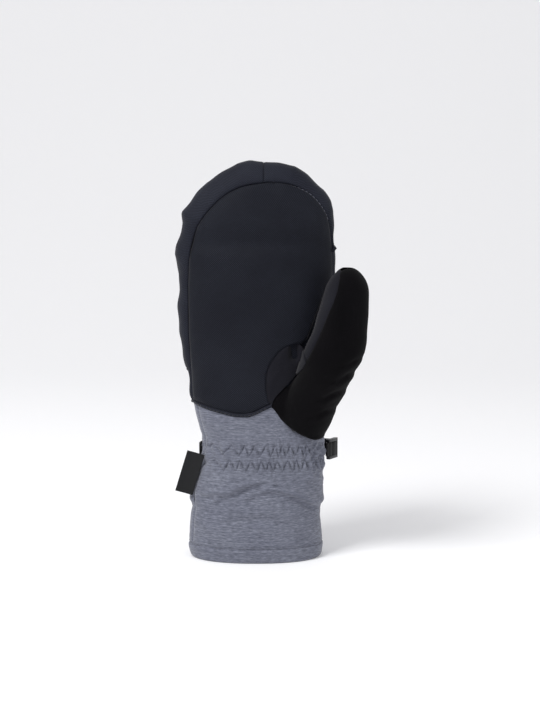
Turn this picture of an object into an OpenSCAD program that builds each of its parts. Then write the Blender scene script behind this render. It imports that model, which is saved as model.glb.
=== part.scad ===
/* [Hand] */
// Length from the cuff rim to the fingertips
mitten_len = 289; // [240:1:330]
// Width across the finger pocket
hand_w = 114; // [90:1:135]
// Thickness of the padded hand
hand_d = 58; // [46:1:70]
// Height of the heel of the hand above the rim
heel_z = 112; // [104:1:122]
// Height of the knuckle line, where the finger pocket bends
knuckle_z = 185; // [178:1:200]
// Length of the rounded fingertip end
tip_len = 67; // [50:1:80]
// How far the fingertips curl towards the palm
curl = 8; // [0:1:14]

/* [Cuff] */
// Width of the cuff opening
cuff_w = 99; // [80:1:118]
// Depth of the cuff opening
cuff_d = 64; // [52:1:76]
// Width of the gathered wrist
wrist_w = 91; // [76:1:106]
// Depth of the gathered wrist
wrist_d = 53; // [44:1:62]
// Height of the gathered wrist
wrist_z = 80; // [74:1:86]
// Height where the wrist bends
bend_z = 80; // [78:1:84]
// How far above the bend the cloth still gives way
bend_above = 14; // [14:1:16]
// How far below the bend the cloth still gives way
bend_below = 22; // [20:1:26]
// Turn of the cuff's side seams about the hand's middle
seam_turn = 6; // [0:0.5:10]
// Height of the turned-up hem
hem_h = 13; // [8:1:18]
// Height of the elastic inside the wrist
elastic_h = 20; // [12:1:22]

/* [Thumb] */
// Height of the tip of the thumb
thumb_top = 216; // [208:1:224]
// Width of the thumb at its middle
thumb_w = 39; // [34:1:44]
// Depth of the thumb at its middle
thumb_d = 34; // [30:1:38]
// Height where the thumb bends
thumb_bend_z = 150; // [146:1:154]
// How far the thumb's own axis stands forward of the palm's middle
thumb_forward = 37; // [35:0.5:40]
// How far the thumb stands out past the edge of the hand
thumb_reach = 22; // [20:0.5:26]

/* [Layers] */
// Thickness of the outer fabric
shell_t = 1.2; // [0.8:0.1:2]
// Thickness of the waterproof membrane
membrane_t = 0.5; // [0.3:0.1:1]
// Thickness of the hand's insulation
pad_t = 4; // [2:0.5:6]
// Thickness of the thumb's insulation
thumb_pad_t = 2.5; // [1:0.5:4]
// Thickness of the fleece lining
lining_t = 1.4; // [0.8:0.1:2]
// Clearance between one layer and the next
layer_gap = 0.3; // [0.2:0.05:0.6]

/* [Seams] */
// Inset of the palm seam from the outer edge of the hand
palm_inset = 8; // [5:0.5:12]
// Inset of the back seam from the edge of the hand
back_inset = 6; // [4:0.5:10]
// Distance of the palm seam below the fingertips
tip_inset = 16; // [10:1:20]
// Place of the seam across the fingertips
tip_seam_x = 5; // [-10:1:14]
// Clearance between neighbouring panels
seam_gap = 0.3; // [0.2:0.05:0.6]
// Height of the binding along the palm's lower edge
binding_h = 2.4; // [1.5:0.1:4]
// Thickness of the binding
binding_t = 0.8; // [0.5:0.1:1.2]

/* [Strap] */
// Height of the strap round the wrist
strap_z = 78; // [76:1:84]
// Width of the strap's webbing
web_w = 10; // [8:0.5:12]
// Thickness of the webbing
web_t = 1; // [0.8:0.1:1.2]
// Clearance between the webbing and what it passes
web_gap = 0.3; // [0.2:0.05:0.4]
// Diameter of the ladder lock's bars
bar_d = 2.2; // [1.6:0.1:3]
// Thickness of the ladder lock's side plates
plate_t = 2; // [1.5:0.1:2.5]
// Thickness of the ladder lock from face to face
lock_d = 3.2; // [2.6:0.1:4]
// Turn of the ladder lock away from straight out to the side
lock_turn = 60; // [50:1:70]
// Length of the strap's loose tail
tail_len = 24; // [16:1:30]
// Length of the tail's folded end
tip_fold = 7; // [5:0.5:10]

/* [Label] */
// Height of the flag label
label_h = 31; // [20:1:40]
// Width of the flag label
label_w = 13; // [8:1:18]
// Thickness of the folded label
label_t = 0.8; // [0.5:0.1:1.2]
// Height of the label's middle above the rim
label_z = 61.5; // [50:0.5:72]

/* [Hidden] */

// Sides of every ring of a soft shape, and the squareness of its outline
ring_sides = 28;
ring_power = 2.3;
// Squareness of the fingertip end seen from the front
tip_power = 2.25;
tip_z = mitten_len - tip_len;
// Places of the body's middle, left to right, as the outline leans
wrist_x = 4;
palm_x = 0;
// Half of the gap that a joint leaves in the firm inner layers
finger_half = 9;
thumb_half = 8;

// Depth of each layer under the outer surface: where it starts, and where the next one may
membrane_at = shell_t + layer_gap;
pad_at = membrane_at + membrane_t + layer_gap;
lining_at = pad_at + pad_t + layer_gap;
thumb_lining_at = pad_at + thumb_pad_t + layer_gap;
cuff_lining_at = shell_t + layer_gap;
elastic_t = 1.2;
wrist_lining_at = cuff_lining_at + elastic_t + layer_gap;
label_lean = 16;
label_x = -cuff_w / 2 + 6;
label_y = -13;

far = 400;

// ---- curves ----

// A smooth curve through stations [z, value], level at its ends
function slope(s, i) = i <= 0 || i >= len(s) - 1 ? 0
    : (s[i + 1][1] - s[i - 1][1]) / (s[i + 1][0] - s[i - 1][0]);
function segment(s, z, i = 0) = i >= len(s) - 2 || z < s[i + 1][0] ? i : segment(s, z, i + 1);
function hermite(s, z, i) =
    let (h = s[i + 1][0] - s[i][0], u = max(0, min(1, (z - s[i][0]) / h)))
    s[i][1] * (1 + 2 * u) * pow(1 - u, 2) + s[i + 1][1] * u * u * (3 - 2 * u)
    + h * u * (1 - u) * (slope(s, i) * (1 - u) - slope(s, i + 1) * u);
function smooth_at(s, z) = hermite(s, z, segment(s, z));

// One ring of a soft shape: a rounded oval of half width a and half depth b
function oval(a, b) = [for (i = [0 : ring_sides - 1])
    let (t = 360 * (i + 0.5) / ring_sides, c = cos(t), s = sin(t))
    [a * sign(c) * pow(abs(c), 2 / ring_power), b * sign(s) * pow(abs(s), 2 / ring_power)]];

// ---- the hand's outer form ----

widths = [[0, cuff_w / 2], [wrist_z / 2, cuff_w / 2 - 0.5], [wrist_z, wrist_w / 2], [heel_z, hand_w * 0.42],
          [thumb_bend_z, hand_w * 0.48], [knuckle_z, hand_w / 2], [mitten_len, hand_w / 2]];
depths = [[0, cuff_d / 2], [wrist_z / 2, cuff_d / 2 - 1], [wrist_z, wrist_d / 2], [heel_z, hand_d * 0.49],
          [thumb_bend_z, hand_d / 2], [knuckle_z, hand_d / 2], [mitten_len, hand_d / 2 - 1]];
middles = [[0, 0], [wrist_z / 2, 0], [wrist_z, wrist_x], [heel_z, wrist_x / 2], [thumb_bend_z, palm_x],
           [mitten_len, -1]];

// Share of the full section left at height z inside the rounded fingertips
function tip_share(z, t) = z <= tip_z ? 1
    : pow(max(0.0001, 1 - pow((z - tip_z) / (tip_len - t), tip_power)), 1 / tip_power);
// Every layer shares one ladder of heights and runs straight between them, so all stay parallel
function straight(stations, z, z0, step) =
    let (low = z0 + step * floor((z - z0) / step + 0.001), u = (z - low) / step)
    smooth_at(stations, low) * (1 - u) + smooth_at(stations, low + step) * u;
function rungs(z0, z1, base, step) = concat([z0],
    [for (k = [ceil((z0 - base) / step + 0.01) : floor((z1 - base) / step - 0.01)]) base + k * step], [z1]);
hand_step = tip_z / 12;
function hand_at(stations, z) = z <= tip_z ? straight(stations, z, 0, hand_step) : smooth_at(stations, z);
function hand_x(z) = hand_at(middles, z);
function hand_y(z) = z <= knuckle_z ? 0 : -curl * pow((z - knuckle_z) / (mitten_len - knuckle_z), 2);
function hand_a(z, t) = (hand_at(widths, z) - t) * tip_share(z, t);
function hand_b(z, t) = (hand_at(depths, z) - t) * tip_share(z, t);
function hand_ring(z, t) =
    [for (p = oval(hand_a(z, t), hand_b(z, t))) [p[0] + hand_x(z), p[1] + hand_y(z), z]];
function tip_heights(t) = [for (f = [18, 34, 50, 64, 76, 85]) tip_z + (tip_len - t) * sin(f)];
function hand_heights(t, z0, z1) =
    concat(rungs(z0, min(z1, tip_z), 0, hand_step), z1 <= tip_z ? [] : tip_heights(t));

// ---- the thumb's outer form ----

thumb_x1 = hand_w / 2 + thumb_reach - thumb_w / 2 + 2;
thumb_base_z = wrist_z + 12;
thumb_dome = 19;
thumb_dome_z = thumb_top - thumb_dome;
thumb_mids = [[thumb_base_z, thumb_x1 - 32], [heel_z, thumb_x1 - 24.5],
              [thumb_bend_z - 15, thumb_x1 - 15], [thumb_bend_z + 8, thumb_x1 - 5],
              [thumb_bend_z + 30, thumb_x1], [thumb_top, thumb_x1 + 0.5]];
thumb_fronts = [[thumb_base_z, -thumb_forward + 27], [heel_z, -thumb_forward + 21],
                [thumb_bend_z - 15, -thumb_forward + 9], [thumb_bend_z + 8, -thumb_forward + 0.5],
                [thumb_top, -thumb_forward]];
thumb_as = [[thumb_base_z, thumb_w / 2 - 1.5], [heel_z, thumb_w / 2 + 1], [thumb_bend_z + 8, thumb_w / 2],
            [thumb_bend_z + 30, thumb_w / 2 - 2], [thumb_top, thumb_w / 2 - 5]];
thumb_bs = [[thumb_base_z, thumb_d / 2], [heel_z, thumb_d / 2 + 2], [thumb_bend_z - 15, thumb_d / 2 + 2],
            [thumb_bend_z + 8, thumb_d / 2 - 0.5], [thumb_top, thumb_d / 2 - 4]];
function thumb_share(z, t) = z <= thumb_dome_z ? 1
    : sqrt(max(0.001, 1 - pow((z - thumb_dome_z) / (thumb_dome - t), 2)));
thumb_step = (thumb_dome_z - thumb_base_z) / 7;
function thumb_at(stations, z) =
    z <= thumb_dome_z ? straight(stations, z, thumb_base_z, thumb_step) : smooth_at(stations, z);
function thumb_ring(z, t) = [for (p = oval((thumb_at(thumb_as, z) - t) * thumb_share(z, t),
                                          (thumb_at(thumb_bs, z) - t) * thumb_share(z, t)))
    [p[0] + thumb_at(thumb_mids, z), p[1] + thumb_at(thumb_fronts, z), z]];
function thumb_heights(t, z0) = concat(
    rungs(z0, thumb_dome_z, thumb_base_z, thumb_step),
    [for (f = [25, 48, 66, 80]) thumb_dome_z + (thumb_dome - t) * sin(f)]);

// ---- solids from rings ----

// A closed solid through a stack of rings
module loft(rings) {
    m = len(rings);
    n = len(rings[0]);
    polyhedron(
        points = [for (r = rings) each r],
        faces = concat(
            [[for (i = [0 : n - 1]) i]],
            [[for (i = [n - 1 : -1 : 0]) (m - 1) * n + i]],
            [for (j = [0 : m - 2], i = [0 : n - 1])
                [j * n + i, (j + 1) * n + i, (j + 1) * n + (i + 1) % n]],
            [for (j = [0 : m - 2], i = [0 : n - 1])
                [j * n + i, (j + 1) * n + (i + 1) % n, j * n + (i + 1) % n]]));
}

module hand_form(t, z0, z1) loft([for (z = hand_heights(t, z0, z1)) hand_ring(z, t)]);
module thumb_form(t, z0 = thumb_base_z) loft([for (z = thumb_heights(t, z0)) thumb_ring(z, t)]);

// One layer of the hand between two heights, open at both ends or closed over the fingertips
module hand_layer(t, thick, z0, z1) {
    difference() {
        hand_form(t, z0, z1);
        hand_form(t + thick, z0 - 1, z1 < tip_z ? z1 + 1 : z1);
    }
}

// Everything of a shape whose front view lies inside an outline, in front of or behind the middle
module front_prism(y0, y1) translate([0, y1, 0]) rotate([90, 0, 0]) linear_extrude(y1 - y0) children();

module above(z) translate([-far / 2, -far / 2, z]) cube(far);
module below(z) translate([-far / 2, -far / 2, z - far]) cube(far);
// The two sides of the plane through the cuff's side seams
module before_seam(gap) rotate([0, 0, seam_turn]) translate([-far / 2, -far - gap, -1]) cube([far, far, far]);
module behind_seam(gap) rotate([0, 0, seam_turn]) translate([-far / 2, gap, -1]) cube([far, far, far]);

// The outer fabric of the hand and thumb together, above z0
module skin(z0) {
    difference() {
        union() {
            hand_form(0, z0, mitten_len);
            thumb_form(0);
        }
        hand_form(shell_t, z0 - 1, mitten_len);
        thumb_form(shell_t);
    }
}

// ---- outlines of the panels, seen from the front ----

// The palm's upper seam is an arch that leans towards the thumb side
palm_left = -hand_w / 2 + palm_inset;
palm_right = hand_w / 2 + 4;
palm_top = mitten_len - tip_inset;
arch_z = tip_z - 15;
function arch(x0, x1, z0, z1, power, steps = 14) = [for (k = [0 : steps])
    let (a = 180 - 180 * k / steps, c = cos(a))
    [(x0 + x1) / 2 + (x1 - x0) / 2 * sign(c) * pow(abs(c), 2 / power),
     z0 + (z1 - z0) * pow(sin(a), 2 / power)]];
// The palm's lower edge, sagging in the middle, and the lower edge of the thumb panel beside it
corner = [thumb_x1 - 51, heel_z + 4.5];
palm_hem = [[corner[0] - 6, heel_z + 1.5], [corner[0] - 13, heel_z - 1.5],
            [corner[0] - 19, heel_z - 2.6], [corner[0] - 33, heel_z - 0.4],
            [corner[0] - 47, heel_z + 3], [-far, heel_z + 9]];
thumb_hem = [[corner[0] + 4, heel_z - 2], [corner[0] + 10, heel_z - 10],
             [corner[0] + 21, heel_z - 17], [corner[0] + 30, heel_z - 20.6],
             [corner[0] + 37, heel_z - 20.8], [corner[0] + 43, heel_z - 18], [far, heel_z - 18]];
// The edge between the thumb's black panel and its inner side
thumb_edge = [corner, [thumb_x1 - 46, heel_z + 12], [thumb_x1 - 37, heel_z + 25],
              [thumb_x1 - 28, heel_z + 39], [thumb_x1 - 21, thumb_bend_z + 16],
              [thumb_x1 - 12, thumb_bend_z + 34], [thumb_x1 - 6, thumb_bend_z + 52],
              [thumb_x1 - 3, thumb_top]];
// The crescent let into the palm below the thumb
crescent_left = [corner, [corner[0] - 2, heel_z + 8], [corner[0] - 4.5, heel_z + 17.5],
                 [corner[0] - 4.5, heel_z + 28], [corner[0] - 1, heel_z + 38],
                 [corner[0] + 6.5, heel_z + 46], [corner[0] + 14, heel_z + 49],
                 [corner[0] + 30, heel_z + 49]];

module palm_outline() polygon(concat(
    [corner], palm_hem, [[palm_left, heel_z + 9]],
    arch(palm_left, palm_right, arch_z, palm_top, 2.2),
    [[palm_right, heel_z]]));
module crescent() intersection() {
    polygon(concat(crescent_left, [[thumb_x1 - 21, heel_z + 49], [thumb_x1 - 21, thumb_bend_z + 16]],
                   [for (k = [3 : -1 : 1]) thumb_edge[k]]));
    square([corner[0] + 20, far]);
}
module back_outline() polygon(concat(
    [[hand_w / 2 - back_inset, heel_z - 8], [-hand_w / 2 + back_inset, heel_z - 8]],
    arch(-hand_w / 2 + back_inset, hand_w / 2 - back_inset, arch_z, mitten_len - back_inset, 2.2)));
module inner_side() polygon(concat(thumb_edge, [[-far, thumb_top], [-far, corner[1]]]));
// The part of the thumb's panel that lies on the palm round the foot of the thumb
apron_top = heel_z + 14;
module apron() difference() {
    polygon([corner, [thumb_edge[1][0], apron_top], [far, apron_top], [far, heel_z - 24],
             [corner[0], heel_z - 24]]);
    inner_side();
    cuff_front_outline();
}
module cuff_front_outline() polygon(concat(
    [[-far, 0], [far, 0]], [for (k = [len(thumb_hem) - 1 : -1 : 0]) thumb_hem[k]], [corner], palm_hem));

// ---- cuff ----

back_edge_z = heel_z - 8;
side_edge_z = heel_z + 9;

module cuff_hem() color("slategray") {
    linear_extrude(hem_h) difference() {
        polygon(oval(cuff_w / 2, cuff_d / 2));
        polygon(oval(cuff_w / 2 - cuff_lining_at - lining_t, cuff_d / 2 - cuff_lining_at - lining_t));
    }
}

module cuff_front() color("slategray") {
    intersection() {
        skin(hem_h + seam_gap);
        before_seam(seam_gap / 2);
        front_prism(-far, far) offset(delta = -seam_gap) cuff_front_outline();
    }
}

module cuff_back() color("slategray") {
    intersection() {
        hand_layer(0, shell_t, hem_h + seam_gap, back_edge_z - seam_gap);
        behind_seam(seam_gap / 2);
    }
}

module lining_cuff() color("dimgray")
    hand_layer(cuff_lining_at, lining_t, hem_h + seam_gap, bend_z - bend_below);

module lining_wrist() color("dimgray")
    hand_layer(wrist_lining_at, lining_t, bend_z - bend_below + seam_gap, bend_z + bend_above - seam_gap);

module wrist_elastic() color("white")
    hand_layer(cuff_lining_at, elastic_t, bend_z - elastic_h / 2, bend_z + elastic_h / 2);

// A plate hanging from its sewn edge, which follows the cuff's side seam
module flag_label() color("black")
    translate([label_x, label_y, label_z]) rotate([0, label_lean, 0])
        translate([-label_w, -label_t / 2, -label_h / 2]) cube([label_w, label_t, label_h]);

// ---- outer panels of the hand ----

module hand_skin() difference() {
    hand_layer(0, shell_t, back_edge_z, mitten_len);
    thumb_form(-2 * seam_gap);
}

module palm_panel() color("darkslategray") {
    intersection() {
        hand_skin();
        front_prism(-far, -seam_gap) difference() {
            offset(delta = -seam_gap) palm_outline();
            offset(delta = seam_gap) union() {
                crescent();
                apron();
            }
        }
    }
}

module palm_binding() color("black") {
    intersection() {
        difference() {
            hand_layer(-seam_gap - binding_t, binding_t, back_edge_z, heel_z + 16);
            thumb_form(-seam_gap);
        }
        front_prism(-far, -8) difference() {
            palm_outline();
            translate([0, binding_h]) palm_outline();
            translate([corner[0] + 1, 0]) square(far);
        }
    }
}

module thumb_gusset() color("dimgray") {
    intersection() {
        hand_skin();
        front_prism(-far, -4) difference() {
            crescent();
            offset(delta = seam_gap) apron();
        }
    }
}

module back_panel() color("slategray") {
    intersection() {
        hand_skin();
        front_prism(2, far) back_outline();
    }
}

// The side wall between the palm and the back, over the fingertips
module gusset() {
    difference() {
        hand_skin();
        front_prism(-far, 0) union() {
            palm_outline();
            crescent();
            offset(delta = seam_gap) apron();
        }
        front_prism(2 - seam_gap, far) offset(delta = seam_gap) back_outline();
        intersection() {
            before_seam(-seam_gap / 2);
            below(side_edge_z + seam_gap);
        }
    }
}

module gusset_outer() color("black") intersection() {
    gusset();
    translate([tip_seam_x - seam_gap / 2 - far, -far / 2, 0]) cube(far);
}
module gusset_inner() color("black") intersection() {
    gusset();
    translate([tip_seam_x + seam_gap / 2, -far / 2, 0]) cube(far);
}

// ---- outer panels of the thumb ----

module thumb_strip() color("dimgray") intersection() {
    skin(back_edge_z);
    difference() {
        thumb_form(-seam_gap);
        hand_form(0, thumb_base_z - 1, mitten_len);
    }
    front_prism(-far, far) offset(delta = -seam_gap) inner_side();
}

module thumb_panel() color("black") difference() {
    intersection() {
        skin(back_edge_z - 14);
        union() {
            thumb_form(-seam_gap);
            front_prism(-far, -seam_gap) apron();
        }
    }
    front_prism(-far, far) union() {
        inner_side();
        cuff_front_outline();
    }
}

// ---- inner layers ----

hand_z0 = bend_z + bend_above;
hand_z1 = knuckle_z - finger_half;
fingers_z0 = knuckle_z + finger_half;

// One layer of the hand, opened where the thumb's own layer of it joins
module hand_inner(t, thick, thumb_t, thumb_thick) {
    difference() {
        union() {
            hand_form(t, hand_z0, hand_z1);
            difference() {
                thumb_form(thumb_t, hand_z0);
                above(thumb_bend_z - thumb_half);
            }
        }
        hand_form(t + thick, hand_z0 - 1, hand_z1 + 1);
        thumb_form(thumb_t + thumb_thick, hand_z0 - 1);
    }
}

module thumb_inner(t, thick) {
    difference() {
        thumb_form(t, thumb_bend_z + thumb_half);
        thumb_form(t + thick, thumb_bend_z + thumb_half - 1);
        hand_form(0, thumb_base_z, tip_z);
    }
}

module membrane_hand() color("white") hand_inner(membrane_at, membrane_t, membrane_at, membrane_t);
module insulation_hand() color("ivory") hand_inner(pad_at, pad_t, pad_at, thumb_pad_t);
module lining_hand() color("dimgray") hand_inner(lining_at, lining_t, thumb_lining_at, lining_t);

module membrane_fingers() color("white") hand_layer(membrane_at, membrane_t, fingers_z0, mitten_len);
module insulation_fingers() color("ivory") hand_layer(pad_at, pad_t, fingers_z0, mitten_len);
module lining_fingers() color("dimgray") hand_layer(lining_at, lining_t, fingers_z0, mitten_len);

module membrane_thumb() color("white") thumb_inner(membrane_at, membrane_t);
module insulation_thumb() color("ivory") thumb_inner(pad_at, thumb_pad_t);
module lining_thumb() color("dimgray") thumb_inner(thumb_lining_at, lining_t);

// ---- strap round the wrist ----

// A band of webbing that follows a path of points, standing on edge
function way(p, i) = let (a = p[max(0, i - 1)], b = p[min(len(p) - 1, i + 1)]) (b - a) / norm(b - a);
module band(path, thick, high) linear_extrude(high) polygon(concat(
    [for (i = [0 : len(path) - 1]) path[i] + thick / 2 * [-way(path, i)[1], way(path, i)[0]]],
    [for (i = [len(path) - 1 : -1 : 0]) path[i] - thick / 2 * [-way(path, i)[1], way(path, i)[0]]]));
module at_strap() translate([0, 0, strap_z - web_w / 2]) children();

// The ladder lock's frame: out along the strap from its fixed bar, and across its face
out = [cos(lock_turn), sin(lock_turn)];
face = [sin(lock_turn), -cos(lock_turn)];
wrap_r = bar_d / 2 + web_gap + web_t / 2;
bar_pitch = 2 * wrap_r + web_t + 0.5;
// Half width and half depth of the cuff where the strap goes round it
strap_edges = [strap_z - web_w / 2, strap_z + web_w / 2];
girth_a = max([for (z = strap_edges) hand_at(widths, z)]);
girth_b = max([for (z = strap_edges) hand_at(depths, z)]);
lock_at = [wrist_x + girth_a + wrap_r + 1, 2];
function lock_point(u, w) = lock_at + u * out + w * face;
lip = 2 * bar_pitch - 0.6;
lock_end = lip + bar_d / 2 + 0.5;
// The strap passes behind the lip with the tail between them
behind_tail = bar_d / 2 + web_gap + web_t / 2;
behind_all = behind_tail + web_t + web_gap;

// Round the wrist from the outer seam, over the back, and out to the lock
strap_a = girth_a + web_gap + web_t / 2 + 0.6;
strap_b = girth_b + web_gap + web_t / 2 + 0.4;
strap_oval = [for (t = [186 : -10 : 66])
    [wrist_x + strap_a * sign(cos(t)) * pow(abs(cos(t)), 2 / ring_power),
     strap_b * sign(sin(t)) * pow(abs(sin(t)), 2 / ring_power)]];
turn_r = 3;
turn_at = lock_point(lock_end + 0.3, -behind_all - turn_r);
strap_off = strap_oval[len(strap_oval) - 1];
home = 166;
function turn(r, k) = let (h = home - (home - lock_turn) * k / 6) turn_at + r * [sin(h), -cos(h)];
homeward = (strap_off - turn(turn_r, 0)) / norm(strap_off - turn(turn_r, 0));
lock_run = [lock_point(lip - 1.2, -behind_all), lock_point(bar_pitch + 0.6, -behind_all + 0.2),
            lock_point(bar_pitch - wrap_r + 0.5, -wrap_r - 0.4)];
wrap = [for (h = [195 : -30 : -15]) lock_point(bar_pitch + wrap_r * cos(h), wrap_r * sin(h))];
under_lip = [lock_point(lip - 1.4, -behind_tail + 0.4), lock_point(lip, -behind_tail),
             lock_point(lock_end, -behind_tail)];

module wrist_strap() color("black") at_strap()
    band(concat(strap_oval, [for (k = [0 : 6]) turn(turn_r, k)], lock_run, wrap, under_lip), web_t, web_w);

tail_r = turn_r + web_t + web_gap;
tail_start = lock_end + 0.3;
tail_off = turn(tail_r, 0) + (tail_len - 8) * homeward;
module strap_tail() color("black") at_strap()
    band(concat([for (k = [6 : -1 : 0]) turn(tail_r, k)], [tail_off]), web_t, web_w);
module strap_tip() color("black") at_strap() translate([0, 0, -0.3])
    translate(web_t / 2 * [-homeward[1], homeward[0]] * -1)
        band([for (k = [0.3, tip_fold]) tail_off + k * homeward], 2 * web_t, web_w + 0.6);

// A short web sewn into the thumb-side seam and round the lock's fixed bar
loop_r = bar_d / 2 + web_gap;
module strap_loop() color("black") at_strap() linear_extrude(web_w) difference() {
    union() {
        translate(lock_at) circle(loop_r + web_t, $fn = 40);
        polygon([lock_at + [0, loop_r + web_t - 0.3], lock_at + [-loop_r - web_t + 0.35, 1],
                 [lock_at[0] - loop_r - 0.8, -2.2], [lock_at[0] - loop_r + 0.6, -2.6],
                 lock_at + [0, -loop_r]]);
    }
    translate(lock_at) circle(loop_r, $fn = 40);
}

plate_z = web_w / 2 + web_gap;
module lock_plate() linear_extrude(plate_t) polygon([
    lock_point(-1.5, -lock_d / 2 + 0.6), lock_point(-0.9, -lock_d / 2),
    lock_point(lock_end - 0.8, -lock_d / 2 + 0.4), lock_point(lock_end, -lock_d / 2 + 1.2),
    lock_point(lock_end, lock_d / 2 - 0.4), lock_point(lock_end - 0.8, lock_d / 2),
    lock_point(-0.9, lock_d / 2), lock_point(-1.5, lock_d / 2 - 0.6)]);
module ladder_lock() color("black") translate([0, 0, strap_z]) {
    translate([0, 0, plate_z]) lock_plate();
    translate([0, 0, -plate_z - plate_t]) lock_plate();
    for (u = [0, bar_pitch, lip])
        translate(concat(lock_point(u, 0), [-plate_z - plate_t / 2]))
            cylinder(d = bar_d, h = 2 * plate_z + plate_t, $fn = 32);
    translate([0, 0, -plate_z - plate_t / 2]) linear_extrude(2 * plate_z + plate_t) polygon([
        lock_point(lip - 0.4, 0.3), lock_point(lip + 0.5, lock_d / 2 - 0.1),
        lock_point(lock_end - 0.1, lock_d / 2 - 0.3), lock_point(lock_end - 0.1, 0)]);
}

cuff_hem();
cuff_front();
cuff_back();
lining_cuff();
lining_wrist();
wrist_elastic();
palm_panel();
palm_binding();
back_panel();
gusset_outer();
gusset_inner();
thumb_gusset();
thumb_strip();
thumb_panel();
membrane_hand();
insulation_hand();
lining_hand();
membrane_fingers();
insulation_fingers();
lining_fingers();
membrane_thumb();
insulation_thumb();
lining_thumb();
flag_label();
wrist_strap();
strap_loop();
ladder_lock();
strap_tail();
strap_tip();
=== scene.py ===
import math
import numpy as np
import bpy
import bmesh
from mathutils import Vector, Matrix


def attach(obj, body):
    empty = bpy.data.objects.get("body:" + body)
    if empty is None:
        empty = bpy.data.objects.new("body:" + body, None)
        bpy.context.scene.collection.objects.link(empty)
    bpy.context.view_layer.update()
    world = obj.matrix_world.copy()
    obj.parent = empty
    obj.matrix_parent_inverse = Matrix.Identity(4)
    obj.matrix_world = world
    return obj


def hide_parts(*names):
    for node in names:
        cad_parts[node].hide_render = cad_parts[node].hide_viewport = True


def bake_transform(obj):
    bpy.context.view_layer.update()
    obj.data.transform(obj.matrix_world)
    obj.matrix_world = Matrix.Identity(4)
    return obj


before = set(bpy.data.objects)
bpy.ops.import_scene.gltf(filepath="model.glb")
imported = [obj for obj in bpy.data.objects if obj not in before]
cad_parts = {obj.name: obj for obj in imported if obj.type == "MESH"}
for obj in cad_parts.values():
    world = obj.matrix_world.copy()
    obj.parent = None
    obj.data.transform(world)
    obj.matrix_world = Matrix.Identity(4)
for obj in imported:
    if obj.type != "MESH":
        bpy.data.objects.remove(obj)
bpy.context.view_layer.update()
MM = 0.001

# ---------------------------------------------------------------- camera, light and floor

def make_camera():
    data = bpy.data.cameras.new("camera")
    data.sensor_width = 36.0
    data.lens = 79.9
    camera = bpy.data.objects.new("camera", data)
    bpy.context.scene.collection.objects.link(camera)
    tilt, away = math.radians(7.0), 1.167
    aim = Vector((0.0094, 0.0, 0.1445))
    camera.location = aim + away * Vector((0, -math.cos(tilt), math.sin(tilt)))
    camera.rotation_euler = (math.radians(90) - tilt, 0, 0)
    bpy.context.scene.camera = camera


def soft_box(name, place, aim, size, watts):
    data = bpy.data.lights.new(name, "AREA")
    data.shape, data.size, data.energy = "SQUARE", size, watts
    lamp = bpy.data.objects.new(name, data)
    bpy.context.scene.collection.objects.link(lamp)
    lamp.location = place
    lamp.rotation_euler = (Vector(aim) - Vector(place)).to_track_quat("-Z", "Y").to_euler()


def srgb(text):
    parts = [int(text[i:i + 2], 16) / 255 for i in (0, 2, 4)]
    return [c / 12.92 if c <= 0.04045 else ((c + 0.055) / 1.055) ** 2.4 for c in parts] + [1.0]


def add(tree, kind, links=None, **settings):
    """Adds one node: settings are its own properties or its inputs' values, links its inputs' sources."""
    node = tree.nodes.new(kind)
    for key, value in settings.items():
        if hasattr(node, key) and key not in node.inputs:
            setattr(node, key, value)
        else:
            node.inputs[key].default_value = value
    for key, source in (links or {}).items():
        tree.links.new(source, node.inputs[key])
    return node


def cloth(name):
    """A new material, its node tree and its shader."""
    material = bpy.data.materials.new(name)
    material.use_nodes = True
    tree = material.node_tree
    tree.nodes.clear()
    shader = add(tree, "ShaderNodeBsdfPrincipled")
    out = add(tree, "ShaderNodeOutputMaterial", {"Surface": shader.outputs[0]})
    return material, tree, shader


def stretched(tree, source, x, y, z=1.0):
    return add(tree, "ShaderNodeMapping", {"Vector": source}, Scale=(x, y, z)).outputs[0]


def shades(tree, source, *stops):
    ramp = add(tree, "ShaderNodeValToRGB", {"Fac": source})
    elements = ramp.color_ramp.elements
    for k, (place, colour) in enumerate(stops):
        if k < 2:
            elements[k].position = place
            elements[k].color = srgb(colour)
        else:
            fresh = elements.new(place)
            fresh.color = srgb(colour)
    return ramp.outputs[0]


def bump(tree, shader, height, strength, depth):
    made = add(tree, "ShaderNodeBump", {"Height": height}, Strength=strength, Distance=depth)
    tree.links.new(made.outputs[0], shader.inputs["Normal"])


def blended(tree, share, a, b, how="MIX"):
    mix = tree.nodes.new("ShaderNodeMix")
    mix.data_type, mix.blend_type = "RGBA", how
    mix.inputs[0].default_value = share if isinstance(share, float) else 0.5
    if not isinstance(share, float):
        tree.links.new(share, mix.inputs[0])
    for k, source in ((6, a), (7, b)):
        if isinstance(source, (list, tuple)):
            mix.inputs[k].default_value = source
        else:
            tree.links.new(source, mix.inputs[k])
    return mix.outputs[2]


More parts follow.
